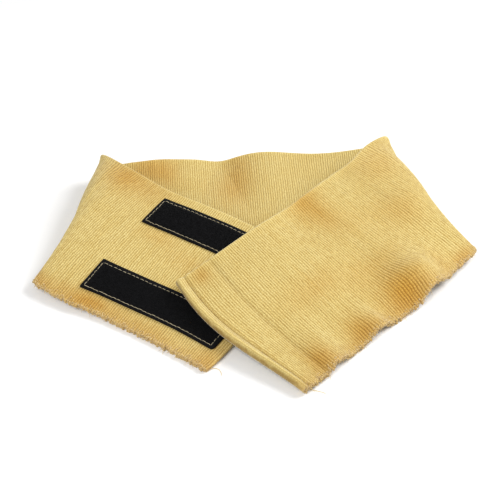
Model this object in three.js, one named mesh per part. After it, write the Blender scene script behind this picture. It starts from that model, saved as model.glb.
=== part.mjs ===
// Cut-resistant neck guard: a straight band of double rib knit with a smooth folded top edge and a raw
// foot edge, lying collapsed on its back with its right end laid over its left end. Two loop strips are
// sewn on the outer face of the left end, and a hook strip is sewn under the right end.
// Millimetres, +Z up, +Y from the raw edge towards the smooth edge of the back.
import * as THREE from 'three';

// Sizes of the band, measured along it from its left end and up from its raw foot edge
const BAND_LENGTH = 540;
const BAND_HEIGHT = 98;
const BAND_THICKNESS = 3;
const TABLE_CLEARANCE = BAND_THICKNESS / 2;

// Rolled hem across the right end, and the bow of both ends between their corners
const HEM_WIDTH = 5;
const HEM_THICKNESS = 4.4;
const HEM_ROLL = 1;
const END_EDGE_THICKNESS = 1.4;
const END_ROUND = 1.5;
const LEFT_END_BOW = { depth: 3.5, length: 30, skew: 0.7 };
const RIGHT_END_BOW = { depth: 6.5, length: 60, skew: 1.28 };

// Hook-and-loop tape
const TAPE_WIDTH = 22.5;
const TAPE_THICKNESS = 1.4;
const SEAT_GAP = 0.3;
const HOOK_STRIP_INSET = 4.2;
const HOOK_STRIP_START = BAND_LENGTH - HOOK_STRIP_INSET - TAPE_WIDTH;

// Strips of it: how far along the band and how high above its foot edge each begins, how long and how
// high it is, how far it climbs along its length, and whether it is on the outer or the inner face
const STRIPS = {
  loop_strip_lower: { start: 6, length: 95.5, foot: 11.7, height: TAPE_WIDTH, climb: -1.6, side: 1 },
  loop_strip_upper: { start: 9, length: 91.5, foot: 67.6, height: TAPE_WIDTH, climb: -1.2, side: 1 },
  hook_strip: { start: HOOK_STRIP_START, length: TAPE_WIDTH, foot: 8, height: 82, climb: 0, side: -1 },
};

// Seams that draw the right end in, where the hook strip is sewn on: a soft one and a deep one at the hem
const SEAM_INSET = 1.3;
const SOFT_SEAM_INSET = 5;
const SEAMS = [
  { along: HOOK_STRIP_START + SOFT_SEAM_INSET, depth: 0.45, width: 2 },
  { along: HOOK_STRIP_START + TAPE_WIDTH - SEAM_INSET, depth: 1, width: 1.2 },
];

// Sections across the band, in order along it: where the raw foot and the smooth top of each lie, and
// how far its middle stands out from the straight line between them
const SECTIONS = [
  { along: 0, foot: [-28, -90.5, 1.6], top: [24, -1, 7.5], belly: -0.5 },
  { along: 38, foot: [-55, -70, 1.6], top: [-1.5, 17.5, 13], belly: 1 },
  { along: 75, foot: [-84, -51, 2], top: [-31, 31.5, 19], belly: 2 },
  { along: 103, foot: [-108, -37, 4.5], top: [-54, 42, 22.5], belly: 3 },
  { along: 121, foot: [-128, -23.5, 5], top: [-70, 54, 24.5], belly: 5 },
  { along: 136, foot: [-117, -12, 2.2], top: [-85, 67, 25], belly: 8 },
  { along: 150, foot: [-103, -10, 1.5], top: [-98.5, 83, 21.5], belly: 6 },
  { along: 163, foot: [-89, -8, 1.5], top: [-95, 87, 11], belly: 3 },
  { along: 179, foot: [-73, -5, 1.5], top: [-80.5, 92, 9], belly: 2.5 },
  { along: 213, foot: [-40, -1, 1.5], top: [-48, 98.5, 7], belly: 2.5 },
  { along: 259, foot: [5, 1, 1.5], top: [-2, 105, 7], belly: 2.5 },
  { along: 306, foot: [51, 4, 1.5], top: [48, 106, 7.5], belly: 2.5 },
  { along: 326, foot: [71, 6, 1.5], top: [68, 106, 10.5], belly: 3 },
  { along: 340, foot: [84, 8, 1.5], top: [84, 104, 16], belly: 5 },
  { along: 352, foot: [97, 10, 1.5], top: [82, 101, 23.8], belly: 10 },
  { along: 371, foot: [116.5, 12, 2.2], top: [68.5, 84.5, 26.7], belly: 9 },
  { along: 389, foot: [128.5, 4.5, 5.5], top: [57.5, 66.5, 27], belly: 4 },
  { along: 408, foot: [114, -12, 4.5], top: [46.5, 54, 27], belly: 1.5 },
  { along: 448, foot: [85, -41, 2.5], top: [21, 25, 27], belly: -0.5 },
  { along: 488, foot: [57.5, -71.5, 2.4], top: [-5.5, -0.5, 24.5], belly: 0 },
  { along: 522, foot: [34.5, -96.6, 3.4], top: [-31.5, -22, 18.2], belly: 0.3 },
  { along: 540, foot: [22.6, -106.8, 3.7], top: [-46.4, -34.5, 14.7], belly: 0.5 },
];

// Ruffles of the raw foot edge: how wide each is before and after its crest, the share of the way up that
// it reaches, and how far it is lifted off the surface or flares out beyond the edge
const RUFFLES = [
  { along: 101, before: 9, after: 9, reach: 0.15, lift: 0, flare: 1.2 },
  { along: 415.5, before: 9.5, after: 12, reach: 0.12, lift: -2, flare: 1.2 },
  { along: 429.5, before: 16.5, after: 17, reach: 0.35, lift: 8.7, flare: 1.1 },
  { along: 442, before: 5, after: 20, reach: 0.12, lift: -2, flare: 2.6 },
  { along: 474, before: 6, after: 9, reach: 0.14, lift: 5.3, flare: -0.7 },
  { along: 499.5, before: 12, after: 8, reach: 0.42, lift: -1.9, flare: -0.4 },
  { along: 511, before: 11.5, after: 7, reach: 0.21, lift: 4.2, flare: -1.3 },
  { along: 525.5, before: 5, after: 5, reach: 0.14, lift: -0.5, flare: -1.1 },
];

// Waves of the smooth edge of the back panel
const WAVE_REACH = 0.8;
const WAVES = [
  { along: 196, width: 13, rise: 1.3 },
  { along: 236, width: 13, rise: -4 },
  { along: 266, width: 14, rise: 1.4 },
  { along: 296, width: 12, rise: -0.6 },
];

// Shallow dents in the right panel, and bulges of it, which have less than no depth: where the middle of
// each is, and how far it goes along and up
const DENTS = [
  { along: 437.5, up: 0.14, width: 18.5, reach: 0.09, depth: -4.8 },
  { along: 480.5, up: 0.09, width: 7, reach: 0.09, depth: -0.9 },
  { along: 518.5, up: 0.27, width: 11, reach: 0.27, depth: 2.6 },
  { along: 454.5, up: 0.84, width: 15.5, reach: 0.18, depth: 3 },
  { along: 394.5, up: 0.51, width: 13, reach: 0.13, depth: -2.2 },
  { along: 467, up: 0.55, width: 15.5, reach: 0.21, depth: -1.2 },
];

// Steps of the surface
const COLUMN_STEP = 4.5;
const END_COLUMN_STEPS = [0, 0.4, 1.1, 2.2, 4.2];
const SEAM_COLUMN_STEPS = [-2.4, -1.2, 0, 1.2, 2.4];
const TOP_ROW_STEPS = [0, 0.5, 1.5];
const ROWS_UP = 15;
const STRIP_COLUMN_STEP = 2.8;
const STRIP_ROW_STEP = 4.5;
const SLOPE_STEP = 0.25;

const bell = (offset, width) => Math.exp(-((offset / width) ** 2));
const ease = (share) => Math.min(Math.max(share, 0), 1) ** 2;

// Slope of one coordinate at a section, from its neighbours on either side
function sectionSlope(index, read) {
  const before = SECTIONS[Math.max(index - 1, 0)];
  const after = SECTIONS[Math.min(index + 1, SECTIONS.length - 1)];
  return (read(after) - read(before)) / (after.along - before.along);
}

// Smooth curve of one coordinate through all the sections, straight beyond the ends
function throughSections(along, read) {
  const last = SECTIONS.length - 1;
  if (along <= 0) return read(SECTIONS[0]) + along * sectionSlope(0, read);
  if (along >= BAND_LENGTH) return read(SECTIONS[last]) + (along - BAND_LENGTH) * sectionSlope(last, read);
  const next = SECTIONS.findIndex((section) => section.along > along);
  const start = SECTIONS[next - 1];
  const end = SECTIONS[next];
  const span = end.along - start.along;
  const t = (along - start.along) / span;
  const startWeight = 2 * t ** 3 - 3 * t ** 2 + 1;
  const startSlope = (t ** 3 - 2 * t ** 2 + t) * span * sectionSlope(next - 1, read);
  const endSlope = (t ** 3 - t ** 2) * span * sectionSlope(next, read);
  return startWeight * read(start) + (1 - startWeight) * read(end) + startSlope + endSlope;
}

function sectionPoint(along, edge) {
  const [x, y, z] = [0, 1, 2].map((axis) => throughSections(along, (section) => section[edge][axis]));
  return new THREE.Vector3(x, y, z);
}

// The two ends bow outwards between their corners
function endBow({ depth, length, skew }, fromEnd, up) {
  const arch = Math.sin(Math.PI * Math.min(Math.max(up, 0), 1) ** skew);
  return depth * ease(1 - fromEnd / length) * arch;
}

function bowedAlong(along, up) {
  return along - endBow(LEFT_END_BOW, along, up) + endBow(RIGHT_END_BOW, BAND_LENGTH - along, up);
}

// Middle of the knit at a place along the band and a share of the way up it
function middlePoint(along, up) {
  const place = bowedAlong(along, up);
  const foot = sectionPoint(place, 'foot');
  const rib = sectionPoint(place, 'top').sub(foot);
  const ahead = sectionPoint(place + SLOPE_STEP, 'foot').add(sectionPoint(place + SLOPE_STEP, 'top'));
  const behind = sectionPoint(place - SLOPE_STEP, 'foot').add(sectionPoint(place - SLOPE_STEP, 'top'));
  const outwards = rib.clone().cross(ahead.sub(behind)).normalize();
  let proud = throughSections(place, (section) => section.belly) * 4 * up * (1 - up);
  let flare = 0;
  for (const ruffle of RUFFLES) {
    const width = along < ruffle.along ? ruffle.before : ruffle.after;
    const share = bell(along - ruffle.along, width) * bell(up, ruffle.reach);
    proud += ruffle.lift * share;
    flare += ruffle.flare * share;
  }
  for (const wave of WAVES) {
    proud -= wave.rise * bell(along - wave.along, wave.width) * bell(1 - up, WAVE_REACH);
  }
  for (const dent of DENTS) {
    proud -= dent.depth * bell(along - dent.along, dent.width) * bell(up - dent.up, dent.reach);
  }
  const point = foot.clone().addScaledVector(rib, up).addScaledVector(outwards, proud);
  point.addScaledVector(rib.normalize(), -flare);
  point.z = Math.max(point.z, TABLE_CLEARANCE);
  return point;
}

// Direction of the outer face
function outerNormal(along, up) {
  const step = SLOPE_STEP / BAND_HEIGHT;
  const alongSlope = middlePoint(along + SLOPE_STEP, up).sub(middlePoint(along - SLOPE_STEP, up));
  const upSlope = middlePoint(along, up + step).sub(middlePoint(along, up - step));
  return upSlope.cross(alongSlope).normalize();
}

// Point at a distance out from the middle of the knit
function offsetPoint(along, up, distance) {
  return middlePoint(along, up).addScaledVector(outerNormal(along, up), distance);
}

// Quarter-round rise from 0 at an edge to 1 at a distance from it
function roundRise(distance, radius) {
  const share = Math.min(distance / radius, 1);
  return Math.sqrt(1 - (1 - share) ** 2);
}

// Share of the hem at a distance from the right end
function inHem(fromRight) {
  return ease(2 - (2 * fromRight) / HEM_WIDTH);
}

// Half of the knit's thickness: round at the smooth top and at both ends, full in the rolled hem
function halfThickness(along, up) {
  const fromRight = BAND_LENGTH - along;
  const full = THREE.MathUtils.lerp(BAND_THICKNESS, HEM_THICKNESS, inHem(fromRight)) / 2;
  const edge = END_EDGE_THICKNESS / 2;
  const ended = edge + (full - edge) * roundRise(Math.min(along, fromRight), END_ROUND);
  return ended * roundRise((1 - up) * BAND_HEIGHT, BAND_THICKNESS / 2);
}

// How far the roll of the hem stands out of the outer face, less how far the seams draw it in
function hemRelief(along, up) {
  const fromRight = BAND_LENGTH - along;
  const rolled = HEM_ROLL * inHem(fromRight) * roundRise(fromRight, END_ROUND);
  const drawn = SEAMS.reduce((sum, seam) => sum + seam.depth * bell(along - seam.along, seam.width), 0);
  return (rolled - drawn) * roundRise((1 - up) * BAND_HEIGHT, BAND_THICKNESS / 2);
}

// Places along the band, closer together at the ends and the seams
function columnPlaces() {
  const fine = END_COLUMN_STEPS.flatMap((step) => [step, BAND_LENGTH - step]);
  for (const seam of SEAMS) fine.push(...SEAM_COLUMN_STEPS.map((step) => seam.along + step));
  const coarse = [];
  const count = Math.round(BAND_LENGTH / COLUMN_STEP);
  for (let i = 1; i < count; i++) coarse.push((i * BAND_LENGTH) / count);
  const clear = coarse.filter((place) => fine.every((other) => Math.abs(other - place) > COLUMN_STEP / 2));
  return [...fine, ...clear].sort((a, b) => a - b);
}

// Shares of the way up the band, closer together at the round top
function rowShares() {
  const top = TOP_ROW_STEPS.map((step) => 1 - step / BAND_HEIGHT).reverse();
  const shares = [];
  for (let i = 0; i < ROWS_UP; i++) shares.push((i / ROWS_UP) * top[0]);
  return [...shares, ...top];
}

// Closed mesh from rings of points: each ring joins the next, and the end rings are closed by strips
// across them, from one side of the ring to the other
function meshFromRings(rings) {
  const size = rings[0].length;
  const positions = rings.flat().flatMap((point) => point.toArray());
  const faces = [];
  for (let i = 0; i + 1 < rings.length; i++) {
    for (let j = 0; j < size; j++) {
      const here = i * size + j;
      const beside = i * size + ((j + 1) % size);
      faces.push(here, beside, beside + size, here, beside + size, here + size);
    }
  }
  const addCap = (start, flip) => {
    for (let low = 0, high = size - 1; low + 1 < high; low++, high--) {
      const corners = [start + low, start + low + 1, start + high];
      if (low + 1 < high - 1) corners.push(start + low + 1, start + high - 1, start + high);
      if (flip) corners.reverse();
      faces.push(...corners);
    }
  };
  addCap(0, true);
  addCap((rings.length - 1) * size, false);
  const geometry = new THREE.BufferGeometry();
  geometry.setAttribute('position', new THREE.Float32BufferAttribute(positions, 3));
  geometry.setIndex(faces);
  geometry.computeVertexNormals();
  return geometry;
}

// The knitted band: at each place a ring up the outer face, over the round top and down the inner face
function bandGeometry() {
  const rows = rowShares();
  const rings = columnPlaces().map((along) => {
    const outer = rows.map((up) => offsetPoint(along, up, halfThickness(along, up) + hemRelief(along, up)));
    const inner = rows.slice(0, -1).map((up) => offsetPoint(along, up, -halfThickness(along, up)));
    return [...outer, ...inner.reverse()];
  });
  return meshFromRings(rings);
}

// A strip of tape laid on one face of the band; side is 1 for the outer face and -1 for the inner face
function tapeGeometry({ start, length, foot, height, climb, side }) {
  const near = side * (BAND_THICKNESS / 2 + SEAT_GAP);
  const far = near + side * TAPE_THICKNESS;
  const columns = Math.round(length / STRIP_COLUMN_STEP);
  const rows = Math.round(height / STRIP_ROW_STEP);
  const rings = [];
  for (let i = 0; i <= columns; i++) {
    const share = i / columns;
    const along = start + length * share;
    const ups = [];
    for (let j = 0; j <= rows; j++) ups.push((foot + climb * share + (height * j) / rows) / BAND_HEIGHT);
    const face = ups.map((up) => offsetPoint(along, up, Math.max(near, far)));
    const back = ups.map((up) => offsetPoint(along, up, Math.min(near, far)));
    rings.push([...face, ...back.reverse()]);
  }
  return meshFromRings(rings);
}

const knit = new THREE.MeshStandardMaterial({ color: 0xe4c676, roughness: 0.9, metalness: 0 });
const loopPile = new THREE.MeshStandardMaterial({ color: 0x101012, roughness: 0.85, metalness: 0 });
const hookTape = new THREE.MeshStandardMaterial({ color: 0x16161a, roughness: 0.6, metalness: 0 });

const neckGuard = new THREE.Group();

function addPiece(name, geometry, material) {
  const mesh = new THREE.Mesh(geometry, material);
  mesh.name = name;
  neckGuard.add(mesh);
}

addPiece('band', bandGeometry(), knit);
for (const [name, strip] of Object.entries(STRIPS)) {
  addPiece(name, tapeGeometry(strip), strip.side > 0 ? loopPile.clone() : hookTape);
}

// The origin is under the middle of the guard, on the surface that it lies on
const extent = new THREE.Box3().setFromObject(neckGuard);
const middle = extent.getCenter(new THREE.Vector3());
neckGuard.position.set(-middle.x, -middle.y, -extent.min.z);

export default neckGuard;
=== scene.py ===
import math
from collections import namedtuple

import bpy
import numpy as np
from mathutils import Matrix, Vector


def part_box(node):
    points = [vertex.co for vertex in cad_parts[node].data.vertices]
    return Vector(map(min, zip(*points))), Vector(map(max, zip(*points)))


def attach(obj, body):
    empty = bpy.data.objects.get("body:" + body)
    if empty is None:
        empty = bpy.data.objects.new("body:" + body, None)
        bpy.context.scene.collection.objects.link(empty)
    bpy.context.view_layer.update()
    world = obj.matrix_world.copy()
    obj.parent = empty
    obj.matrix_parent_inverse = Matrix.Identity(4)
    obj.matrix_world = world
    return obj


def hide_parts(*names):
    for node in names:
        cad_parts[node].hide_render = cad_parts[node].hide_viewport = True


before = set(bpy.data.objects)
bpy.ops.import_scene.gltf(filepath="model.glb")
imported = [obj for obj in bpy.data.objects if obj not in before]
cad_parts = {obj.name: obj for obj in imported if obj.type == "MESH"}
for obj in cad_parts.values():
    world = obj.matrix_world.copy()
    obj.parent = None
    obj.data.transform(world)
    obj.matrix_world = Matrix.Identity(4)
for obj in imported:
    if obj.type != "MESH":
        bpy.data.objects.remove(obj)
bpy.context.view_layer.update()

# A rib-knit neck guard lies on its back with its right end over its left end.
# Sizes are in millimetres, measured along the band from its left end and up from its raw foot edge.
MM = 0.001
BAND_LENGTH = 540
BAND_HEIGHT = 98
BAND_THICKNESS = 3
TABLE_CLEARANCE = BAND_THICKNESS / 2
HEM_WIDTH = 5
HEM_THICKNESS = 4.4
HEM_ROLL = 1
END_EDGE_THICKNESS = 1.4
END_ROUND = 1.5
SLOPE_STEP = 0.25

# Bow of each end between its corners
Bow = namedtuple("Bow", "depth length skew")
LEFT_END_BOW = Bow(depth=3.5, length=30, skew=0.7)
RIGHT_END_BOW = Bow(depth=6.5, length=60, skew=1.28)

# Hook-and-loop tape, whose back and face are measured from the middle of the knit. On the slope of their
# panel the lower loop strip looks narrower than the tape, and the upper one wider
TAPE_WIDTH = 22.5
TAPE_BACK_GAP = 0.1
TAPE_FACE_RISE = 1.2
TAPE_SEAT = BAND_THICKNESS / 2 + TAPE_BACK_GAP
TAPE_BASE = BAND_THICKNESS / 2 + TAPE_FACE_RISE
LOWER_NARROWER = 0.7
UPPER_WIDER = 0.8
HOOK_STRIP_INSET = 4.2
HOOK_STRIP_START = BAND_LENGTH - HOOK_STRIP_INSET - TAPE_WIDTH
OUTER, INNER = 1, -1
Strip = namedtuple("Strip", "start length foot height climb side corners")
LOOP_STRIP_LOWER = Strip(
    start=6,
    length=95.5,
    foot=12,
    height=TAPE_WIDTH - LOWER_NARROWER,
    climb=-1.6,
    side=OUTER,
    corners=(2.2, 0.6),
)
LOOP_STRIP_UPPER = Strip(
    start=9,
    length=91.5,
    foot=67.6,
    height=TAPE_WIDTH + UPPER_WIDER,
    climb=-1.2,
    side=OUTER,
    corners=(0.8, 0.6),
)
HOOK_STRIP = Strip(
    start=HOOK_STRIP_START,
    length=TAPE_WIDTH,
    foot=8,
    height=82,
    climb=0,
    side=INNER,
    corners=(0.6, 0.6),
)

# Seams that draw the right end in, where the hook strip is sewn on: a soft one, and a deep one at the hem
# whose groove is narrower on the panel's side
SEAM_INSET = 1.3
SOFT_SEAM_INSET = 5
HEM_GROOVE_SHARE = 0.6
Seam = namedtuple("Seam", "along depth width")
SOFT_SEAM = Seam(along=HOOK_STRIP_START + SOFT_SEAM_INSET, depth=0.6, width=1.8)
HEM_SEAM = Seam(along=HOOK_STRIP_START + TAPE_WIDTH - SEAM_INSET, depth=1, width=0.9)

# Sections across the band, in order along it
Section = namedtuple("Section", "along foot top belly")
SECTIONS = [
    Section(0, (-28, -90.5, 1.6), (24, -1, 7.5), -0.5),
    Section(38, (-55, -70, 1.6), (-1.5, 17.5, 13), 1),
    Section(75, (-84, -51, 2), (-31, 31.5, 19), 2),
    Section(103, (-108, -37, 4.5), (-54, 42, 22.5), 3),
    Section(121, (-128, -23.5, 5), (-70, 54, 24.5), 5),
    Section(136, (-117, -12, 2.2), (-85, 67, 25), 8),
    Section(150, (-103, -10, 1.5), (-98.5, 83, 21.5), 6),
    Section(163, (-89, -8, 1.5), (-95, 87, 11), 3),
    Section(179, (-73, -5, 1.5), (-80.5, 92, 9), 2.5),
    Section(213, (-40, -1, 1.5), (-48, 98.5, 7), 2.5),
    Section(259, (5, 1, 1.5), (-2, 105, 7), 2.5),
    Section(306, (51, 4, 1.5), (48, 106, 7.5), 2.5),
    Section(326, (71, 6, 1.5), (68, 106, 10.5), 3),
    Section(340, (84, 8, 1.5), (84, 104, 16), 5),
    Section(352, (97, 10, 1.5), (82, 101, 23.8), 10),
    Section(371, (116.5, 12, 2.2), (68.5, 84.5, 26.7), 9),
    Section(389, (128.5, 4.5, 5.5), (57.5, 66.5, 27), 4),
    Section(408, (114, -12, 4.5), (46.5, 54, 27), 1.5),
    Section(448, (85, -41, 2.5), (21, 25, 27), -0.5),
    Section(488, (57.5, -71.5, 2.4), (-5.5, -0.5, 24.5), 0),
    Section(522, (34.5, -96.6, 3.4), (-31.5, -22, 18.2), 0.3),
    Section(540, (22.6, -106.8, 3.7), (-46.4, -34.5, 14.7), 0.5),
]
KNOTS = np.array([section.along for section in SECTIONS], float)
FEET = np.array([section.foot for section in SECTIONS], float)
TOPS = np.array([section.top for section in SECTIONS], float)
BELLIES = np.array([[section.belly] for section in SECTIONS], float)

# Ruffles of the raw foot edge: how wide each is before and after its crest, the share of the way up that
# it reaches, and how far it is lifted off the surface or flares out beyond the edge
Ruffle = namedtuple("Ruffle", "along before after reach lift flare")
RUFFLES = [
    Ruffle(101, 9, 9, 0.15, 0, 1.2),
    Ruffle(415.5, 9.5, 12, 0.12, -2, 1.2),
    Ruffle(429.5, 16.5, 17, 0.35, 8.7, 1.1),
    Ruffle(442, 5, 20, 0.12, -2, 2.6),
    Ruffle(474, 6, 9, 0.14, 5.3, -0.7),
    Ruffle(499.5, 12, 8, 0.42, -1.9, -0.4),
    Ruffle(511, 11.5, 7, 0.21, 4.2, -1.3),
    Ruffle(525.5, 5, 5, 0.14, -0.5, -1.1),
]

# Waves of the smooth edge of the back panel
WAVE_REACH = 0.8
Wave = namedtuple("Wave", "along width rise")
WAVES = [Wave(196, 13, 1.3), Wave(236, 13, -4), Wave(266, 14, 1.4), Wave(296, 12, -0.6)]

# Shallow dents in the right panel, and bulges of it, which have less than no depth
Dent = namedtuple("Dent", "along up width reach depth")
DENTS = [
    Dent(437.5, 0.14, 18.5, 0.09, -4.8),
    Dent(480.5, 0.09, 7, 0.09, -0.9),
    Dent(518.5, 0.27, 11, 0.27, 2.6),
    Dent(454.5, 0.84, 15.5, 0.18, 3),
    Dent(394.5, 0.51, 13, 0.13, -2.2),
    Dent(467, 0.55, 15.5, 0.21, -1.2),
]

# Rib knit: ridges side by side along the band, each running up from the foot edge
WALE_COUNT = 370
WALE_PITCH = BAND_LENGTH / WALE_COUNT
COURSE_PITCH = 1.25
COLUMNS_PER_WALE = 4
RIB_DEPTH = 0.42
RIB_ROUNDNESS = 0.8
RIB_LEAST, RIB_MOST = 0.75, 1.0
FOOT_FLATNESS, FOOT_FLAT_REACH = 0.4, 3
FACE_ROWS = 27
TOP_ARC_STEPS = 6
FOOT_LIPS = ((0, 0.5), (0.25, 0), (0.65, -0.3))

# Wander of the ridges to either side, which runs out towards both ends
WANDER = 0.45
WANDER_LENGTH, WANDER_HEIGHT = 24, 30
WANDER_RUN_OUT = 20

# Stretch of the knit on the right panel: it rises around the fold and falls towards the hem
RIGHT_STRETCH = 0.12
STRETCH_RISE_START, STRETCH_RISE = 340, 40
STRETCH_FALL_START, STRETCH_FALL = 440, 100
STRETCH_LEVELS = (0.2, 0.5, 0.8)

# Smooth folded top edge: a round rim with a shallow groove under it
TOP_RIM = 0.3
TOP_RIM_WIDTH = 2
TOP_GROOVE = 0.25
TOP_GROOVE_HEIGHT = 91
TOP_GROOVE_WIDTH = 2.5

# Plainer knit with less of a rib, at the top edge and in the hem
TOP_PLAIN = 0.8
HEM_PLAIN = 0.4
HEM_PLAIN_RISE = 2

# Raw foot edge, which is cut back a little near the right fold
RAGGED_REACH = 4
RAGGED_LEAST, RAGGED_MOST = -0.55, 0.85
RAGGED_NOTCH = 0.3
FUZZ_DEPTH = 0.3
FUZZ_LENGTH, FUZZ_HEIGHT = 1.1, 0.9
FUZZ_REACH = 5
TRIM_DEPTH = 0.7
TRIM_ALONG, TRIM_WIDTH = 402, 30

# Shade in the two seams and under the outer edge of the hem, which runs out near the raw foot edge
Crease = namedtuple("Crease", "along width share")
CREASES = [
    Crease(HEM_SEAM.along, 0.45, 0.4),
    Crease(SOFT_SEAM.along, 1.2, 0.3),
    Crease(BAND_LENGTH, 0.8, 0.85),
]
CREASE_RUN_OUT = 8

# Seeds of the random draws
WALE_SEED, WANDER_SEED, FUZZ_SEED = 3, 5, 7
FRINGE_SEED, FOOT_LOOP_SEED = 23, 29
WEAVE_SEED, STITCH_SEED, HOOK_SEED = 11, 41, 17
LOWER_PILE_SEED, UPPER_PILE_SEED = 31, 37

# Painted shade: deeper colour where shade falls, in the hollows and dents, under the tapes and along parts
# of both edges
ShadePatch = namedtuple("ShadePatch", "along height width reach share")
SHADE_PATCHES = [
    ShadePatch(446, 10, 15, 13, 1),
    ShadePatch(413, 12, 8, 8, 0.25),
    ShadePatch(484, 8, 9, 10, 0.75),
    ShadePatch(516, 9, 7, 11, 0.8),
    ShadePatch(400, 3, 6, 5, 0.5),
    ShadePatch(443, 92, 12, 14, 0.7),
    ShadePatch(440, 75, 9, 10, 0.35),
    ShadePatch(400, 51, 13, 14, 0.45),
    ShadePatch(380, 83, 16, 14, 0.4),
    ShadePatch(485, 45, 18, 9, 0.4),
    ShadePatch(446, 33, 24, 10, 0.35),
    ShadePatch(430, 62, 18, 12, 0.2),
    ShadePatch(527, 91, 5, 6, 0.6),
    ShadePatch(118, 3, 8, 6, 0.4),
    ShadePatch(92, 5, 14, 6, 0.8),
    ShadePatch(55, 4, 30, 6, 0.35),
    ShadePatch(4, 6, 8, 12, 0.5),
    ShadePatch(85, 62, 14, 5, 0.45),
    ShadePatch(57, 53, 16, 7, 0.3),
    ShadePatch(116, 91, 20, 12, 0.5),
    ShadePatch(130, 88, 10, 12, 0.5),
    ShadePatch(190, 88, 16, 14, 0.75),
    ShadePatch(202, 80, 7, 14, 0.3),
    ShadePatch(240, 66, 12, 14, 0.35),
    ShadePatch(248, 82, 10, 26, 0.5),
]


def bell(offset, width):
    return np.exp(-((offset / width) ** 2))


def ramp(value, start, length):
    """Straight rise from 0 at the start to 1 at a length beyond it."""
    return np.clip((value - start) / length, 0, 1)


def ease(share):
    return np.clip(share, 0, 1) ** 2


def round_rise(distance, radius):
    """Quarter-round rise from 0 at an edge to 1 at a distance from it."""
    return np.sqrt(1 - (1 - ramp(distance, 0, radius)) ** 2)


def unit(vectors):
    return vectors / np.linalg.norm(vectors, axis=-1, keepdims=True)


def smooth_noise(x, y, seed):
    """Soft bumps from -1 to 1, about one for each unit of x and y."""
    size = 256
    lattice = np.random.default_rng(seed).uniform(-1, 1, (size, size))
    x, y = np.broadcast_arrays(np.asarray(x, float), np.asarray(y, float))
    column, row = np.floor(x).astype(int), np.floor(y).astype(int)
    across, up = x - column, y - row
    across, up = across**2 * (3 - 2 * across), up**2 * (3 - 2 * up)

    def corner(right, above):
        return lattice[(column + right) % size, (row + above) % size]

    low = corner(0, 0) * (1 - across) + corner(1, 0) * across
    high = corner(0, 1) * (1 - across) + corner(1, 1) * across
    return low * (1 - up) + high * up


def through_sections(along, values):
    """Smooth curve through one row of values for each section, straight beyond the ends."""
    last = len(KNOTS) - 1
    before = np.clip(np.arange(last + 1) - 1, 0, last)
    after = np.clip(np.arange(last + 1) + 1, 0, last)
    slopes = (values[after] - values[before]) / (KNOTS[after] - KNOTS[before])[:, None]
    start = np.clip(np.searchsorted(KNOTS, along, side="right") - 1, 0, last - 1)
    span = (KNOTS[start + 1] - KNOTS[start])[..., None]
    t = np.clip((along - KNOTS[start])[..., None] / span, 0, 1)
    start_weight = 2 * t**3 - 3 * t**2 + 1
    inside = start_weight * values[start] + (1 - start_weight) * values[start + 1]
    inside += (t**3 - 2 * t**2 + t) * span * slopes[start] + (t**3 - t**2) * span * slopes[start + 1]
    below = np.minimum(along, 0)[..., None] * slopes[0]
    beyond = np.maximum(along - BAND_LENGTH, 0)[..., None] * slopes[last]
    return inside + below + beyond


def end_bow(bow, from_end, up):
    arch = np.sin(np.pi * np.clip(up, 0, 1) ** bow.skew)
    return bow.depth * ease(1 - from_end / bow.length) * arch


def middle_point(along, up):
    """Middle of the knit at a place along the band and a share of the way up it."""
    place = along - end_bow(LEFT_END_BOW, along, up) + end_bow(RIGHT_END_BOW, BAND_LENGTH - along, up)
    foot = through_sections(place, FEET)
    rib = through_sections(place, TOPS) - foot
    ahead, behind = place + SLOPE_STEP, place - SLOPE_STEP
    run = through_sections(ahead, FEET) + through_sections(ahead, TOPS)
    run -= through_sections(behind, FEET) + through_sections(behind, TOPS)
    outwards = unit(np.cross(rib, run))
    proud = through_sections(place, BELLIES)[..., 0] * 4 * up * (1 - up)
    flare = np.zeros_like(proud)
    for ruffle in RUFFLES:
        width = np.where(along < ruffle.along, ruffle.before, ruffle.after)
        share = bell(along - ruffle.along, width) * bell(up, ruffle.reach)
        proud = proud + ruffle.lift * share
        flare = flare + ruffle.flare * share
    for wave in WAVES:
        proud = proud - wave.rise * bell(along - wave.along, wave.width) * bell(1 - up, WAVE_REACH)
    for dent in DENTS:
        proud = proud - dent.depth * bell(along - dent.along, dent.width) * bell(up - dent.up, dent.reach)
    point = foot + rib * up[..., None] + outwards * proud[..., None] - unit(rib) * flare[..., None]
    point[..., 2] = np.maximum(point[..., 2], TABLE_CLEARANCE)
    return point


def outer_normal(along, up):
    step = SLOPE_STEP / BAND_HEIGHT
    along_slope = middle_point(along + SLOPE_STEP, up) - middle_point(along - SLOPE_STEP, up)
    up_slope = middle_point(along, up + step) - middle_point(along, up - step)
    return unit(np.cross(up_slope, along_slope))


def on_band(along, height, offset):
    """Points at a distance out from the middle of the knit, and the outward directions there."""
    along, height, offset = np.broadcast_arrays(*(np.asarray(x, float) for x in (along, height, offset)))
    normal = outer_normal(along, height / BAND_HEIGHT)
    return middle_point(along, height / BAND_HEIGHT) + normal * offset[..., None], normal


def in_hem(from_right):
    """Share of the hem at a distance from the right end."""
    return ease(2 - 2 * from_right / HEM_WIDTH)


def half_thickness(along):
    """Half of the knit's thickness: round at both ends, full in the rolled hem."""
    from_right = BAND_LENGTH - along
    full = (BAND_THICKNESS + (HEM_THICKNESS - BAND_THICKNESS) * in_hem(from_right)) / 2
    edge = END_EDGE_THICKNESS / 2
    return edge + (full - edge) * round_rise(np.minimum(along, from_right), END_ROUND)


# Points along and up the band, enough of them to find its box
BOX_COLUMNS, BOX_ROWS = 541, 50


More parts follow.
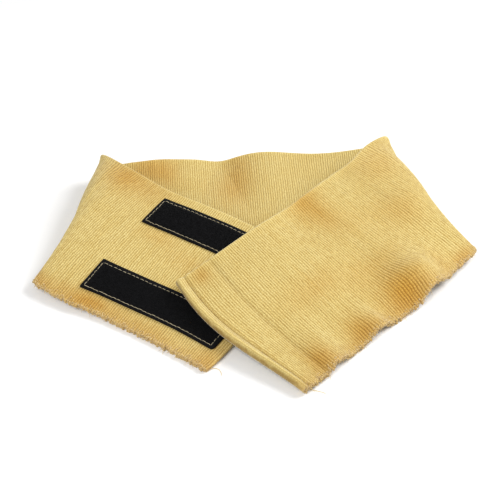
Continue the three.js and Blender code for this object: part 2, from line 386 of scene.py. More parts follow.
def frame_shift():
    """From the tables' own millimetres to the frame: the CAD solids are centred on their box."""
    columns, rows = np.linspace(0, BAND_LENGTH, BOX_COLUMNS), np.linspace(0, BAND_HEIGHT, BOX_ROWS)
    along, height = np.meshgrid(columns, rows)
    offsets = [side * half_thickness(along) for side in (OUTER, INNER)]
    faces = np.concatenate([on_band(along, height, offset)[0].reshape(-1, 3) for offset in offsets])
    low, high = faces.min(0), faces.max(0)
    cad_low, cad_high = (np.array(corner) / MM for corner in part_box("band"))
    middle = (cad_low + cad_high) / 2 - (low + high) / 2
    return np.array((middle[0], middle[1], cad_low[2] - low[2]))


SHIFT = frame_shift()


def to_frame(points):
    """Metres in the shared frame, never below the surface that the guard lies on."""
    moved = (points + SHIFT) * MM
    moved[..., 2] = np.maximum(moved[..., 2], 0)
    return moved


def signed_volume(points, quads):
    a, b, c, d = (points[quads[:, k]] for k in range(4))
    return (np.cross(a, b) * c).sum() + (np.cross(a, c) * d).sum()


def add_piece(name, points, faces, material):
    mesh = bpy.data.meshes.new(name)
    mesh.from_pydata(points.reshape(-1, 3).tolist(), [], faces)
    mesh.shade_smooth()
    mesh.materials.append(material)
    piece = bpy.data.objects.new(name, mesh)
    bpy.context.scene.collection.objects.link(piece)
    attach(piece, "root")
    return piece


def add_uv_map(piece, name, corner_values):
    layer = piece.data.uv_layers.new(name=name)
    layer.uv.foreach_set("vector", np.asarray(corner_values, np.float32).ravel())


def ring_piece(name, rings, places, material):
    """Closed mesh from rings of points, one ring for each column. Each ring starts in the middle of one
    edge, so the end rings are closed by strips from one side to the other. places holds the two
    pattern coordinates of every point."""
    columns, rows = rings.shape[:2]
    column, row = np.meshgrid(np.arange(columns - 1), np.arange(rows), indexing="ij")
    corner_columns = np.stack([column, column, column + 1, column + 1], -1).reshape(-1, 4)
    corner_rows = np.stack([row, row + 1, row + 1, row], -1).reshape(-1, 4)
    quads = corner_columns * rows + corner_rows % rows
    inner = np.arange(1, (rows - 1) // 2)
    cap = np.stack([inner, inner + 1, rows - 1 - inner, rows - inner], -1)
    caps = np.concatenate([cap[:, ::-1], cap + (columns - 1) * rows])
    tips = [[0, rows - 1, 1], [(columns - 1) * rows + k for k in (0, 1, rows - 1)]]
    points = rings.reshape(-1, 3)
    faces = [*quads.tolist(), *caps.tolist(), *tips]
    if signed_volume(points, quads) < 0:
        faces = [face[::-1] for face in faces]
        corner_columns, corner_rows = corner_columns[:, ::-1], corner_rows[:, ::-1]
    piece = add_piece(name, to_frame(points), faces, material)
    corners = np.array([vertex for face in faces for vertex in face])
    add_uv_map(piece, "pattern", places.reshape(-1, 2)[corners])
    sheet_map = np.stack([corners // rows / (columns - 1), corners % rows / rows], -1)
    sides = quads.size
    sheet_map[:sides, 0] = corner_columns.ravel() / (columns - 1)
    sheet_map[:sides, 1] = corner_rows.ravel() / rows
    add_uv_map(piece, "OFBake", sheet_map)
    return piece


# The rings of a thread are turned from the upright, or from X where the thread itself is steep
STEEP = 0.8
LEAST_SPAN, LEAST_CROSS = 1e-6, 1e-9


def tube_piece(name, paths, radii, material, sides):
    """Many closed round threads as one mesh: paths is threads by points by 3, and radii is one radius or
    spreads to threads by points."""
    count, steps = paths.shape[:2]
    radii = np.broadcast_to(radii, (count, steps))
    tangent = unit(np.gradient(paths, axis=1))
    whole = unit(paths[:, -1] - paths[:, 0] + LEAST_SPAN)
    aside = np.where(np.abs(whole[:, 2:]) < STEEP, [[0, 0, 1]], [[1, 0, 0]])
    across = unit(np.cross(tangent, unit(np.cross(whole, aside))[:, None, :]) + LEAST_CROSS)
    other = np.cross(tangent, across)
    turn = np.linspace(0, 2 * np.pi, sides, endpoint=False)[:, None]
    circle = across[:, :, None] * np.cos(turn) + other[:, :, None] * np.sin(turn)
    points = (paths[:, :, None] + circle * radii[:, :, None, None]).reshape(-1, 3)
    ring = np.arange(count * steps).reshape(count, steps, 1) * sides
    start = ring[:, :-1]
    side = np.arange(sides)
    after = (side + 1) % sides
    quads = np.stack([start + side, start + after, start + sides + after, start + sides + side], -1)
    quads = quads.reshape(-1, 4)
    caps = np.concatenate([ring[:, 0] + side[::-1], ring[:, -1] + side])
    faces = [*quads.tolist(), *caps.tolist()]
    if signed_volume(points, quads) < 0:
        faces = [face[::-1] for face in faces]
    return add_piece(name, to_frame(points), faces, material)


class Shader:
    """A material's node tree, written as plain calls that give sockets back."""

    def __init__(self, name, **values):
        self.material = bpy.data.materials.new(name)
        self.material.use_nodes = True
        self.tree = self.material.node_tree
        self.surface = self.tree.nodes["Principled BSDF"]
        for key, value in values.items():
            self.surface.inputs[key.replace("_", " ")].default_value = value

    def node(self, kind, inputs=(), output=0, **settings):
        made = self.tree.nodes.new("ShaderNode" + kind)
        for key, value in settings.items():
            setattr(made, key, value)
        for key, value in dict(inputs).items():
            self.feed(made.inputs[key], value)
        return made.outputs[output]

    def feed(self, socket, value):
        if isinstance(value, bpy.types.NodeSocket):
            self.tree.links.new(value, socket)
        else:
            socket.default_value = value

    def math(self, operation, *values):
        return self.node("Math", enumerate(values), operation=operation)

    def fade(self, value, span, levels=(0, 1)):
        """Smooth change from one level to the other while the value crosses a span."""
        inputs = {0: value, 1: span[0], 2: span[1], 3: levels[0], 4: levels[1]}
        return self.node("MapRange", inputs, interpolation_type="SMOOTHSTEP")

    def mix(self, share, first, second, blend="MIX"):
        inputs = {0: share, 6: first, 7: second}
        return self.node("Mix", inputs, output=2, data_type="RGBA", blend_type=blend)

    def tint(self, share, first, second):
        """The first colour, with a share of it darkened by the second."""
        return self.mix(share, first, second, blend="MULTIPLY")

    def pattern(self):
        """Millimetres along and across the cloth."""
        return self.node("UVMap", uv_map="pattern")

    def parts(self, vector):
        """The first two parts of a vector."""
        first = self.node("SeparateXYZ", {0: vector})
        return first, first.node.outputs[1]

    def attribute(self, name):
        return self.node("Attribute", attribute_name=name, output="Fac")

    def noise(self, place, along, up, detail=2):
        """Soft noise, with spots of about these sizes along and up."""
        scaled = self.node("VectorMath", {0: place, 1: (1 / along, 1 / up, 1)}, operation="MULTIPLY")
        return self.node("TexNoise", {"Vector": scaled, "Scale": 1, "Detail": detail})

    def spots(self, place, kind):
        return self.fade(self.noise(place, kind.along, kind.up, kind.detail), kind.span, kind.levels)

    def bump(self, height, distance, strength=1):
        normal = self.node("Bump", {"Height": height, "Distance": distance, "Strength": strength})
        self.feed(self.surface.inputs["Normal"], normal)

    def colour(self, value):
        self.feed(self.surface.inputs["Base Color"], value)


def rgb(red, green, blue):
    return (red, green, blue, 1)


# Unevenness of the cloth: about how large its spots are along and up, the span of the noise that shows,
# and its levels
Spots = namedtuple("Spots", "along up detail span levels")
WOBBLES = Spots(2.4, 4, 2, (0.25, 0.75), (-0.25, 0.25))
BLOTCHES = Spots(26, 22, 3, (0.42, 0.75), (0, 0.6))
STREAKS = Spots(1.7, 35, 2, (0.35, 0.75), (0, 0.6))
GRAIN = Spots(0.9, 1.1, 2, (0.35, 0.7), (0, 1))
SPECKLES = Spots(0.9, 0.9, 2, (0.35, 0.6), (0, 1))
# Patches of painted shine on the tape
TAPE_SHINE_PATCHES = Spots(3.5, 2.5, 3, (0.4, 0.75), (0, 1))

# Spots and hairs of thread, in metres
THREAD_SPOTS = Spots(MM / 0.9, MM / 0.9, 2, (0.35, 0.7), (0, 1))
THREAD_HAIR = MM / 2.5
THREAD_BUMP = 0.05 * MM

# Colours of the knit, and tints that darken it
KNIT_CREST = rgb(0.825, 0.69, 0.3)
# Darker colour in the gaps between ridges and courses: painted shade, with the deeper yarn seen there
KNIT_GAP_SHADE = rgb(0.49, 0.34, 0.1)
# Painted shade at the raw foot edge
RAW_EDGE_SHADE = rgb(0.5, 0.34, 0.15)
KNIT_SHEEN = rgb(1, 0.95, 0.78)
WORN_TINT = rgb(0.9, 0.83, 0.66)
GRAIN_TINT = rgb(0.86, 0.81, 0.69)
FOOT_TINT = rgb(0.91, 0.82, 0.72)
# Tint of the painted shade in the hollows and dents and under the tapes
SHADE_TINT = rgb(0.82, 0.585, 0.25)
CREASE_TINT = rgb(0.52, 0.45, 0.32)

# Gaps between the ridges and between the courses, and how much of them shows where the knit is plain
RIDGE_GAP = (0.03, 0.4)
COURSE_LEAN = 1.3
COURSE_GAP = 0.5
PLAIN_CONTRAST = 0.5

# Deeper colour towards the raw edge, and painted shade in dark speckles along the edge itself, by height
FOOT_SPAN = (4, 20)
FOOT_UNEVENNESS = 12
FOOT_SPOT_LENGTH, FOOT_SPOT_HEIGHT = 9, 7
RAW_EDGE_SHADE_SPAN = (-0.4, 1.6)

# Fine relief of the yarn
HAIR_SIZE = 0.35
COURSE_RELIEF = 0.5
KNIT_BUMP = 0.14 * MM
KNIT_BUMP_STRENGTH = 0.8


def knit_material():
    """Pale straw yarn: ridges with darker gaps, which are partly painted shade, uneven yarn, a deeper
    colour towards the raw edge, and painted shade in the seams, hollows and dents and at the raw edge.
    """
    s = Shader(
        "aramid_knit",
        Roughness=0.9,
        Specular_IOR_Level=0.25,
        Sheen_Weight=0.55,
        Sheen_Roughness=0.4,
        Sheen_Tint=KNIT_SHEEN,
    )
    place = s.pattern()
    along, height = s.parts(place)
    wale = s.math("DIVIDE", s.math("ADD", along, s.spots(place, WOBBLES)), WALE_PITCH)
    ridge = s.math("PINGPONG", wale, 0.5)
    shuffle = s.node("TexWhiteNoise", {"W": s.math("FLOOR", wale)}, noise_dimensions="1D")
    lean = s.math("ADD", s.math("MULTIPLY", ridge, COURSE_LEAN), shuffle)
    course = s.math("ADD", s.math("DIVIDE", height, COURSE_PITCH), lean)
    loops = s.math("SINE", s.math("MULTIPLY", course, 2 * math.pi))
    # Painted shade in the gaps between ridges and between courses
    gap_shade = s.math("MAXIMUM", s.fade(ridge, RIDGE_GAP, (1, 0)), s.fade(loops, (-1, 1), (COURSE_GAP, 0)))
    contrast = s.fade(s.attribute("plain"), (0, 1), (1, PLAIN_CONTRAST))
    yarn = s.mix(s.math("MULTIPLY", gap_shade, contrast), KNIT_CREST, KNIT_GAP_SHADE)
    wear = s.math("MAXIMUM", s.spots(place, BLOTCHES), s.spots(place, STREAKS))
    worn = s.tint(wear, yarn, WORN_TINT)
    grained = s.tint(s.math("MULTIPLY", s.spots(place, GRAIN), contrast), worn, GRAIN_TINT)
    uneven = s.noise(place, FOOT_SPOT_LENGTH, FOOT_SPOT_HEIGHT, detail=3)
    foot_height = s.math("ADD", height, s.math("MULTIPLY", uneven, FOOT_UNEVENNESS))
    footed = s.tint(s.fade(foot_height, FOOT_SPAN, (1, 0)), grained, FOOT_TINT)
    creased = s.tint(s.attribute("crease"), footed, CREASE_TINT)
    # Painted shade in the hollows and dents and under the tapes
    shade_painted = s.tint(s.attribute("painted_shade"), creased, SHADE_TINT)
    # Painted shade in dark speckles along the raw foot edge
    rim = s.math("MULTIPLY", s.fade(height, RAW_EDGE_SHADE_SPAN, (1, 0)), s.spots(place, SPECKLES))
    s.colour(s.mix(rim, shade_painted, RAW_EDGE_SHADE))
    hairs = s.noise(place, HAIR_SIZE, HAIR_SIZE, detail=3)
    relief = s.math("ADD", s.math("MULTIPLY", loops, COURSE_RELIEF), hairs)
    s.bump(relief, KNIT_BUMP, KNIT_BUMP_STRENGTH)
    return s.material


# Weave of the tape
TAPE_WARP, TAPE_WEFT = 0.7, 0.6
TAPE_BUMP = 0.12 * MM
TAPE_BUMP_STRENGTH = 0.7


def tape_material(name, colour, lighter, roughness):
    """Black tape: close woven ground with a faint uneven shine, painted in as lighter patches of its
    colour.
    """
    s = Shader(name, Roughness=roughness, Specular_IOR_Level=0.12, Sheen_Weight=0.02, Sheen_Roughness=0.4)
    place = s.pattern()
    along, height = s.parts(place)
    warp = s.math("SINE", s.math("MULTIPLY", along, 2 * math.pi / TAPE_WARP))
    weft = s.math("SINE", s.math("MULTIPLY", height, 2 * math.pi / TAPE_WEFT))
    # Painted shine: lighter patches in the tape's colour
    s.colour(s.mix(s.spots(place, TAPE_SHINE_PATCHES), colour, lighter))
    s.bump(s.math("MULTIPLY", warp, weft), TAPE_BUMP, TAPE_BUMP_STRENGTH)
    return s.material


def thread_material(name, colour, darker):
    s = Shader(name, Roughness=0.7, Sheen_Weight=0.15)
    place = s.node("TexCoord", output="Object")
    s.colour(s.mix(s.spots(place, THREAD_SPOTS), colour, darker))
    s.bump(s.noise(place, THREAD_HAIR, THREAD_HAIR), THREAD_BUMP)
    return s.material


def even_columns(count):
    """Places along the band that are evenly spaced on the knit, which is stretched on the right panel."""
    fine = np.linspace(0, BAND_LENGTH, 2 * BAND_LENGTH + 1)
    lines = [middle_point(fine, np.full(fine.shape, up)) for up in STRETCH_LEVELS]
    steps = np.mean([np.linalg.norm(np.diff(line, axis=0), axis=1) for line in lines], axis=0)
    rise = ramp(fine[1:], STRETCH_RISE_START, STRETCH_RISE)
    fall = ramp(fine[1:], STRETCH_FALL_START, STRETCH_FALL)
    stretch = 1 + RIGHT_STRETCH * (rise - fall)
    run = np.concatenate([[0], np.cumsum(steps / stretch)])
    return np.interp(np.linspace(0, run[-1], count), run, fine)


def foot_trim(along):
    """How far the raw edge is cut back near the right fold."""
    return TRIM_DEPTH * bell(along - TRIM_ALONG, TRIM_WIDTH)


# Shares of painted shade in the hollows and dents and under the tapes
def shade_patch_shares(along, height):
    shares = [s.share * bell(along - s.along, s.width) * bell(height - s.height, s.reach) for s in SHADE_PATCHES]
    return np.clip(np.sum(shares, axis=0), 0, 1)


def crease_shares(along, height):
    shares = [crease.share * bell(along - crease.along, crease.width) for crease in CREASES]
    return np.sum(shares, axis=0) * ramp(height, 0, CREASE_RUN_OUT)


def band_ring():
    """Heights around one ring of the band, and the side of the middle that each lies on. The ring runs up
    the outer face, over the round top and down the inner face, and the raw foot edge shows the gap between
    its two layers."""
    round_top = BAND_THICKNESS / 2
    rise = (1 - np.cos(np.pi * np.linspace(0, 1, FACE_ROWS))) / 2
    face = rise * (BAND_HEIGHT - round_top)
    turn = np.pi * np.arange(1, TOP_ARC_STEPS) / TOP_ARC_STEPS
    top = BAND_HEIGHT - round_top + round_top * np.sin(turn)
    lip_share, lip_height = np.array(FOOT_LIPS).T
    heights = [lip_height, face, top, face[::-1], lip_height[:0:-1]]
    sides = [lip_share, np.ones(FACE_ROWS), np.cos(turn), -np.ones(FACE_ROWS), -lip_share[:0:-1]]
    return np.concatenate(heights), np.concatenate(sides)


def wale_columns(along):
    """For each column of the knit: how many wales come before it, how far the raw edge reaches past the
    foot there, and how high its ridge stands."""
    draw = np.random.default_rng(WALE_SEED)
    ragged = draw.uniform(RAGGED_LEAST, RAGGED_MOST, WALE_COUNT + 1)
    thick = draw.uniform(RIB_LEAST, RIB_MOST, WALE_COUNT + 1)
    column = np.arange(len(along))
    phase = column / COLUMNS_PER_WALE
    wale = phase.astype(int)
    notch = np.minimum(ragged[wale], ragged[wale - 1]) - RAGGED_NOTCH
    reach = np.where(column % COLUMNS_PER_WALE == 0, notch, ragged[wale]) - foot_trim(along)
    ridge = np.abs(np.sin(np.pi * phase)) ** RIB_ROUNDNESS * thick[wale]
    return phase, reach, ridge


def seam_depth(place):
    """Depth of the two seams in the outer face, less the rise of the rolled hem."""
    groove = np.where(place < HEM_SEAM.along, HEM_GROOVE_SHARE, 1) * HEM_SEAM.width
    depth = HEM_SEAM.depth * bell(place - HEM_SEAM.along, groove)
    depth = depth + SOFT_SEAM.depth * bell(place - SOFT_SEAM.along, SOFT_SEAM.width)
    from_right = BAND_LENGTH - place
    return depth - HEM_ROLL * in_hem(from_right) * round_rise(from_right, END_ROUND)


def knit_band(material):
    """The band: one ring of points for each column of the knit, with the ribs, rims and seams in relief."""
    along = even_columns(WALE_COUNT * COLUMNS_PER_WALE + 1)
    heights, sides = band_ring()
    phase, reach, ridge = wale_columns(along)
    place, height = np.meshgrid(along, heights, indexing="ij")
    from_end = np.minimum(place, BAND_LENGTH - place)
    from_foot = np.maximum(height, 0)
    near_top = bell(BAND_HEIGHT - height, TOP_RIM_WIDTH)
    wander = WANDER * smooth_noise(place / WANDER_LENGTH, height / WANDER_HEIGHT, WANDER_SEED)
    wander = wander * ramp(from_end, 0, WANDER_RUN_OUT)
    low = height - reach[:, None] * bell(from_foot, RAGGED_REACH)
    plain = np.maximum(HEM_PLAIN * ramp(place, HEM_SEAM.along, HEM_PLAIN_RISE), TOP_PLAIN * near_top)
    shown = (1 - FOOT_FLATNESS * bell(from_foot, FOOT_FLAT_REACH)) * (1 - plain)
    ribs = RIB_DEPTH * (1 - ridge[:, None]) * shown
    rim = TOP_RIM * near_top - TOP_GROOVE * bell(height - TOP_GROOVE_HEIGHT, TOP_GROOVE_WIDTH)
    fuzz = FUZZ_DEPTH * smooth_noise(place / FUZZ_LENGTH, height / FUZZ_HEIGHT, FUZZ_SEED)
    fuzz = fuzz * bell(from_foot, FUZZ_REACH)
    seam = np.where(sides > 0, seam_depth(place), 0)
    offset = (half_thickness(place) - ribs + rim + fuzz - seam) * sides
    rings, _ = on_band(place + wander, low, offset)
    thread = np.broadcast_to(phase[:, None] * WALE_PITCH, height.shape)
    piece = ring_piece("knit_band", rings, np.stack([thread, height], -1), material)
    shades = {
        # Painted shade in the hollows and dents and under the tapes
        "painted_shade": shade_patch_shares(place, height),
        "crease": crease_shares(place, height),
        "plain": plain,
    }
    for name, shares in shades.items():
        layer = piece.data.attributes.new(name, "FLOAT", "POINT")
        layer.data.foreach_set("value", shares.ravel())
    return piece


def strip_place(strip, share_along, across):
    """Place along the band and height above its foot edge, for a place on a strip."""
    along = strip.start + strip.length * share_along
    return along, strip.foot + strip.climb * share_along + across


def strip_grid(strip, insets, along_step, across_step):
    """Places in even rows on a strip; insets are from its low edge, high edge, start and end."""
    low, high, start, end = insets
    along = np.arange(start, strip.length - end, along_step)
    across = np.arange(low, strip.height - high, across_step)
    along, across = np.meshgrid(along, across)
    return along.ravel(), across.ravel()


# Face of the tape: its rounded edge and its grain
TAPE_STEP = 0.45
TAPE_EDGE_RADIUS, TAPE_EDGE_LEAST = 0.7, 0.05
TAPE_GRAIN, TAPE_GRAIN_SIZE = 0.1, 0.6
TAPE_SMOOTH_EDGE = 0.5


def tape_strip(name, strip, material):
    """A strip of tape: a flat back on the knit and a face that is a little proud between its sewn edges."""
    columns = int(strip.length / TAPE_STEP) + 1
    rows = int(strip.height / TAPE_STEP) + 1
    share = np.linspace(0, 1, columns)[:, None]
    from_start, from_end = share * strip.length, (1 - share) * strip.length
    start_radius, end_radius = strip.corners
    cut = start_radius * (1 - round_rise(from_start, start_radius))
    cut = np.maximum(cut, end_radius * (1 - round_rise(from_end, end_radius)))
    level = np.linspace(0, 1, rows)
    ring_level = np.concatenate([[0], level, level[::-1]])
    face_share = np.concatenate([[0.5], np.ones(rows), np.zeros(rows)])
    across = cut + (strip.height - 2 * cut) * ring_level
    along, height = strip_place(strip, np.broadcast_to(share, across.shape), across)
    edge = np.minimum(np.minimum(across, strip.height - across), np.minimum(from_start, from_end))
    rounded = round_rise(edge + TAPE_EDGE_LEAST, TAPE_EDGE_RADIUS)
    grain = TAPE_GRAIN * smooth_noise(along / TAPE_GRAIN_SIZE, height / TAPE_GRAIN_SIZE, WEAVE_SEED)
    thickness = (TAPE_BASE - TAPE_SEAT) * rounded + grain * (edge > TAPE_SMOOTH_EDGE)
    rings, _ = on_band(along, height, strip.side * (TAPE_SEAT + thickness * face_share))
    return ring_piece(name, rings, np.stack([along, height], -1), material)


# Stitches: insets and the share of each stitch that shows are for the low edge, the high edge, the start
# and the end of a strip
STITCH_PITCH = 3.1
STITCH_INSETS = (1.4, 2.8, 2.5, 2.1)
STITCH_SHOWN = (0.95, 0.72, 0.75, 0.8)
STITCH_RADIUS = 0.12
STITCH_POINTS = 7
STITCH_SCATTER = 0.14
STITCH_SINK = 0.45
STITCH_FLATNESS = 0.6
LOOP_STITCH_LIFT = 0.42
HOOK_STITCH_LIFT = 0.2
HOOK_STITCH_SHOWN = 0.75
SEAM_STITCH_SHOWN = 0.7
SEAM_STITCH_SINK = 0.6


def stitch_rows(name, strip, rows, lift, material):
    """Rows of stitches on a strip: each row runs between two (along, across) places and shows a share of
    each stitch."""
    draw = np.random.default_rng(STITCH_SEED)
    t = np.linspace(0, 1, STITCH_POINTS)
    offset = lift - STITCH_SINK + STITCH_SINK * np.sin(np.pi * t) ** STITCH_FLATNESS
    paths = []
    for start, end, shown in rows:
        start, end = np.array(start, float), np.array(end, float)
        count = max(int(round(np.linalg.norm(end - start) / STITCH_PITCH)), 1)
        share = (np.arange(count)[:, None] + 0.5 + (t - 0.5) * shown) / count
        scatter = draw.uniform(-STITCH_SCATTER, STITCH_SCATTER, (count, 1, 2))
        spot = start + (end - start) * share[..., None] + scatter
        along, height = strip_place(strip, spot[..., 0] / strip.length, spot[..., 1])
        paths.append(on_band(along, height, strip.side * offset)[0])
    return tube_piece(name, np.concatenate(paths), STITCH_RADIUS, material, sides=6)


def box_rows(strip, insets, shown):
    """A row of stitches inside each edge of a strip."""
    low, high, start, end = insets
    left, right, bottom, top = start, strip.length - end, low, strip.height - high
    return [
        ((left, bottom), (right, bottom), shown[0]),
        ((left, top), (right, top), shown[1]),
        ((left, bottom), (left, top), shown[2]),
        ((right, bottom), (right, top), shown[3]),
    ]


# Points along each loop of thread
LOOP_POINTS = 6


def arches(first, last, rise):
    """Loops of thread, each from its first foot to its last, with a rise to the top between them."""
    t = np.linspace(0, 1, LOOP_POINTS)[:, None]
    return first[:, None] * (1 - t) + last[:, None] * t + rise[:, None] * np.sin(np.pi * t)


# Loops of the pile: how far each reaches to either side, and how high it rises
PILE_INSET = 0.6
PILE_SPACING = 0.78
PILE_SCATTER = 0.4
PILE_LEAN, PILE_LEAN_SPREAD = 0.7, 0.6
PILE_REACH = (0.25, 0.5)
PILE_RISE = (0.45, 0.85)
PILE_SINK = 0.15
PILE_RADIUS = 0.11


def loop_pile(name, strip, material, seed):
    """Loops of the pile, standing on the tape inside its row of stitches."""
    draw = np.random.default_rng(seed)
    along, across = strip_grid(strip, np.array(STITCH_INSETS) + PILE_INSET, PILE_SPACING, PILE_SPACING)
    count = along.size
    along = along + draw.uniform(-PILE_SCATTER, PILE_SCATTER, count)
    across = across + draw.uniform(-PILE_SCATTER, PILE_SCATTER, count)
    lean = draw.normal(PILE_LEAN, PILE_LEAN_SPREAD, count)
    reach = draw.uniform(*PILE_REACH, count)
    rise = draw.uniform(*PILE_RISE, count)
    feet = []
    for end in (-1, 1):
        share = (along + end * reach * np.cos(lean)) / strip.length
        place, height = strip_place(strip, share, across + end * reach * np.sin(lean))
        feet.append(on_band(place, height, strip.side * (TAPE_BASE - PILE_SINK)))
    (first, normal), (last, _) = feet
    paths = arches(first, last, normal * (strip.side * rise)[:, None])
    return tube_piece(name, paths, PILE_RADIUS, material, sides=3)


def add_loop_strip(name, strip, tape, pile, thread, seed):
    piece = tape_strip(name + "_tape", strip, tape)
    loops = loop_pile(name + "_pile", strip, pile, seed)
    rows = box_rows(strip, STITCH_INSETS, STITCH_SHOWN)
    stitches = stitch_rows(name + "_stitches", strip, rows, TAPE_BASE + LOOP_STITCH_LIFT, thread)
    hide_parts(name)


# Hooks: each is a bent thread, by how far it reaches forward and out at each point
HOOK_INSETS = (2.6, 2.4, 2.6, 2.4)
HOOK_ALONG_STEP, HOOK_ACROSS_STEP = 1.5, 1.25
HOOK_PROFILE = np.array([(0, 0), (0, 0.35), (0.08, 0.58), (0.25, 0.66), (0.42, 0.55)])
HOOK_RADII = (0.16, 0.13, 0.11, 0.1, 0.08)
HOOK_SINK = 0.1

# Step to a place beside another one, which gives the direction along the band
BESIDE = 0.5


def hook_field(strip, material):
    """Small hooks in rows on the tape under the right end."""
    draw = np.random.default_rng(HOOK_SEED)
    along, across = strip_grid(strip, HOOK_INSETS, HOOK_ALONG_STEP, HOOK_ACROSS_STEP)
    place, height = strip_place(strip, along / strip.length, across)
    depth = strip.side * (TAPE_BASE - HOOK_SINK)
    base, normal = on_band(place, height, depth)
    ahead, _ = on_band(place + BESIDE, height, depth)
    forward = unit(ahead - base) * draw.choice((-1, 1), along.size)[:, None]
    reach, rise = HOOK_PROFILE[:, :1], HOOK_PROFILE[:, 1:]
    paths = base[:, None] + forward[:, None] * reach + strip.side * normal[:, None] * rise
    return tube_piece("hook_strip_hooks", paths, HOOK_RADII, material, sides=4)


def add_hook_strip(tape, hook, thread):
    piece = tape_strip("hook_strip_tape", HOOK_STRIP, tape)
    hooks = hook_field(HOOK_STRIP, hook)
    insets = (SEAM_INSET, SEAM_INSET, SOFT_SEAM_INSET, SEAM_INSET)
    rows = box_rows(HOOK_STRIP, insets, [HOOK_STITCH_SHOWN] * len(insets))
    stitches = stitch_rows("hook_strip_stitches", HOOK_STRIP, rows, TAPE_BASE + HOOK_STITCH_LIFT, thread)
    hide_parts("hook_strip")


def seam_stitches(thread):
    """The hook strip's stitches where they show on the outer face, sunk in the groove of the hem."""
    line = HEM_SEAM.along - HOOK_STRIP.start
    rows = [((line, SEAM_INSET), (line, HOOK_STRIP.height - SEAM_INSET), SEAM_STITCH_SHOWN)]
    lift = BAND_THICKNESS / 2 - HEM_SEAM.depth * SEAM_STITCH_SINK
    return stitch_rows("seam_stitches", HOOK_STRIP._replace(side=OUTER), rows, lift, thread)


# Yarn ends of the raw foot edge
FRINGE_PER_WALE = 3
FRINGE_END_GAP = 0.6
FRINGE_DEPTH = 1.1
FRINGE_ROOT = 0.6
FRINGE_LENGTH_SHAPE, FRINGE_LENGTH_SCALE = 3.0, 0.34
FRINGE_SWING = 0.45
FRINGE_CURL, FRINGE_UNCURL = 0.8, 0.4
FRINGE_LIFT, FRINGE_LIFT_SPREAD = 0.05, 0.35
FRINGE_RADIUS = (0.06, 0.2)
FRINGE_TAPER = 0.45
FRINGE_POINTS = 6


def foot_fringe(material):
    """Yarn ends along the raw foot edge."""
    draw = np.random.default_rng(FRINGE_SEED)
    count = WALE_COUNT * FRINGE_PER_WALE
    along = draw.uniform(FRINGE_END_GAP, BAND_LENGTH - FRINGE_END_GAP, count)
    depth = draw.uniform(-FRINGE_DEPTH, FRINGE_DEPTH, count)
    root = FRINGE_ROOT + foot_trim(along)
    base, normal = on_band(along, root, depth)
    below, _ = on_band(along, root - 1, depth)
    beside, _ = on_band(along + BESIDE, root, depth)
    down, sideways = unit(below - base), unit(beside - base)
    length = draw.gamma(FRINGE_LENGTH_SHAPE, FRINGE_LENGTH_SCALE, count)[:, None]
    swing = draw.normal(0, FRINGE_SWING, count)[:, None]
    curl = draw.normal(0, FRINGE_CURL, count)[:, None]
    lift = draw.normal(FRINGE_LIFT, FRINGE_LIFT_SPREAD, count)[:, None]
    t = np.linspace(0, 1, FRINGE_POINTS)[:, None, None]
    turned = swing * t + curl * t**2 * (1 - FRINGE_UNCURL * t)
    line = base + down * (FRINGE_ROOT + length) * t + sideways * length * turned
    paths = np.swapaxes(line + normal * length * lift * t**2, 0, 1)
    radii = draw.uniform(*FRINGE_RADIUS, count)[:, None] * np.linspace(1, FRINGE_TAPER, FRINGE_POINTS)
    return tube_piece("foot_fringe", paths, radii, material, sides=4)


# Burst loops near the raw foot edge
FOOT_LOOPS_PER_WALE = 5
FOOT_LOOP_END_GAP = 1
FOOT_LOOP_HEIGHT, FOOT_LOOP_SPREAD = 0.4, 1.3
FOOT_LOOP_OUTER_SHARE = 0.7
FOOT_LOOP_REACH = (0.25, 0.55)
FOOT_LOOP_RISE = (0.35, 0.8)
FOOT_LOOP_RADIUS = (0.12, 0.22)
FOOT_LOOP_SINK = 0.35


def foot_loops(material):
    """Burst loops of yarn that stand out of both faces near the raw foot edge."""
    draw = np.random.default_rng(FOOT_LOOP_SEED)
    count = WALE_COUNT * FOOT_LOOPS_PER_WALE
    along = draw.uniform(FOOT_LOOP_END_GAP, BAND_LENGTH - FOOT_LOOP_END_GAP, count)
    height = np.abs(draw.normal(FOOT_LOOP_HEIGHT, FOOT_LOOP_SPREAD, count)) + foot_trim(along)
    side = np.where(draw.uniform(0, 1, count) < FOOT_LOOP_OUTER_SHARE, OUTER, INNER)
    turn = draw.uniform(0, np.pi, count)
    reach = draw.uniform(*FOOT_LOOP_REACH, count)
    rise = side * draw.uniform(*FOOT_LOOP_RISE, count)
    radii = draw.uniform(*FOOT_LOOP_RADIUS, count)[:, None]
    depth = side * (BAND_THICKNESS / 2 - FOOT_LOOP_SINK)
    across, up = reach * np.cos(turn), reach * np.sin(turn)
    first, normal = on_band(along - across, height - up, depth)
    last, _ = on_band(along + across, height + up, depth)
    return tube_piece("foot_loops", arches(first, last, normal * rise[:, None]), radii, material, sides=4)


# Loose ends of sewing thread at the foot corners of the left and right ends
LEFT_TAIL = [
    (-29, -89.5, 2),
    (-25, -87.5, 0.8),
    (-22.9, -87.1, 0.4),
    (-21.2, -88, 0.4),
    (-20.1, -90.1, 0.4),
    (-19.7, -92.3, 0.4),
]
RIGHT_TAIL = [
    (22.5, -103, 3),
    (23, -101.5, 1),
    (25.6, -102.1, 0.4),
    (30.2, -103.5, 0.4),
    (32.2, -104.2, 0.4),
    (34.2, -105.1, 0.4),
]
TAIL_POINTS = 17
TAIL_RADIUS = 0.14


def thread_tails(material):
    """Two loose ends of sewing thread on the surface, each bent through its own points."""
    paths = []
    for tail in (LEFT_TAIL, RIGHT_TAIL):
        spots = np.arange(len(tail))
        steps = np.linspace(0, len(tail) - 1, TAIL_POINTS)
        paths.append(np.stack([np.interp(steps, spots, values) for values in zip(*tail)], -1))
    return tube_piece("thread_tails", np.array(paths), TAIL_RADIUS, material, sides=5)


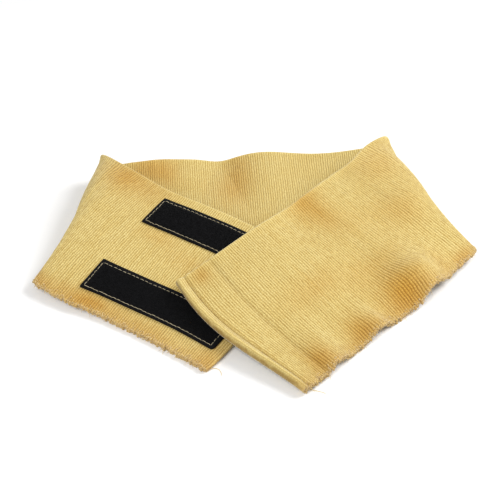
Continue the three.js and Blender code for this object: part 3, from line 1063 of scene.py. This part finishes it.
def add_band(knit, thread, fringe):
    band = knit_band(knit)
    extras = [foot_fringe(fringe), foot_loops(fringe), thread_tails(thread), seam_stitches(thread)]
    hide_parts("band")


# Pale floor and soft studio light, in metres and watts
FLOOR_SIZE = 6
FLOOR_COLOUR = rgb(0.95, 0.95, 0.95)
SKY_COLOUR = rgb(1, 1, 1)
SKY_STRENGTH = 0.4
Light = namedtuple("Light", "name place size power")
LIGHTS = [
    Light("key", (0.87, 0.27, 0.79), 0.6, 12.8),
    Light("fill", (-0.45, -0.7, 0.88), 0.7, 8.7),
]


def add_floor():
    bpy.ops.mesh.primitive_plane_add(size=FLOOR_SIZE)
    floor = bpy.context.object
    floor.name = "floor"
    s = Shader("pale_floor", Base_Color=FLOOR_COLOUR, Roughness=0.9, Specular_IOR_Level=0)
    floor.data.materials.append(s.material)


def add_light(light):
    data = bpy.data.lights.new(light.name, "AREA")
    data.size = light.size
    data.energy = light.power
    lamp = bpy.data.objects.new(light.name, data)
    lamp.location = light.place
    lamp.rotation_euler = (-Vector(light.place)).to_track_quat("-Z", "Y").to_euler()
    bpy.context.scene.collection.objects.link(lamp)


def add_lights():
    world = bpy.data.worlds.new("studio")
    world.use_nodes = True
    sky = world.node_tree.nodes["Background"]
    sky.inputs["Color"].default_value = SKY_COLOUR
    sky.inputs["Strength"].default_value = SKY_STRENGTH
    bpy.context.scene.world = world
    for light in LIGHTS:
        add_light(light)
    bpy.context.scene.view_settings.view_transform = "Standard"


# The photograph's view
CAMERA_TARGET = Vector((-5, -3.05, 13.1)) * MM
CAMERA_DISTANCE = 625.1 * MM
CAMERA_ELEVATION = math.radians(39)
CAMERA_LENS = 77.3
CAMERA_NEAR, CAMERA_FAR = 0.01, 20


def add_camera():
    data = bpy.data.cameras.new("camera")
    data.lens = CAMERA_LENS
    data.clip_start, data.clip_end = CAMERA_NEAR, CAMERA_FAR
    camera = bpy.data.objects.new("camera", data)
    back = Vector((0, -math.cos(CAMERA_ELEVATION), math.sin(CAMERA_ELEVATION)))
    camera.location = CAMERA_TARGET + back * CAMERA_DISTANCE
    camera.rotation_euler = (-back).to_track_quat("-Z", "Y").to_euler()
    bpy.context.scene.collection.objects.link(camera)
    bpy.context.scene.camera = camera


# Colours of the tape, hooks, thread and frayed yarn, each with the one that it is mottled with
LOOP_TAPE = rgb(0.003, 0.003, 0.0035), rgb(0.006, 0.006, 0.007)
LOOP_PILE = rgb(0.003, 0.003, 0.0035), rgb(0.008, 0.008, 0.009)
HOOK_TAPE = rgb(0.008, 0.008, 0.009), rgb(0.014, 0.014, 0.016)
MOULDED_HOOKS = rgb(0.012, 0.012, 0.014), rgb(0.02, 0.02, 0.022)
PALE_THREAD = rgb(0.62, 0.53, 0.34), rgb(0.42, 0.35, 0.21)
YELLOW_THREAD = rgb(0.66, 0.49, 0.17), rgb(0.5, 0.34, 0.1)
FRAYED_YARN = rgb(0.8, 0.61, 0.29), rgb(0.56, 0.4, 0.18)


def build():
    add_camera()
    add_floor()
    add_lights()
    knit = knit_material()
    loop_tape = tape_material("loop_tape", *LOOP_TAPE, roughness=0.8)
    loop_yarn = tape_material("loop_pile", *LOOP_PILE, roughness=0.7)
    hook_tape = tape_material("hook_tape", *HOOK_TAPE, roughness=0.6)
    hooks = thread_material("moulded_hooks", *MOULDED_HOOKS)
    pale_thread = thread_material("pale_thread", *PALE_THREAD)
    yellow_thread = thread_material("yellow_thread", *YELLOW_THREAD)
    frayed_yarn = thread_material("frayed_yarn", *FRAYED_YARN)
    add_band(knit, yellow_thread, frayed_yarn)
    add_loop_strip("loop_strip_lower", LOOP_STRIP_LOWER, loop_tape, loop_yarn, pale_thread, LOWER_PILE_SEED)
    add_loop_strip("loop_strip_upper", LOOP_STRIP_UPPER, loop_tape, loop_yarn, pale_thread, UPPER_PILE_SEED)
    add_hook_strip(hook_tape, hooks, yellow_thread)


build()
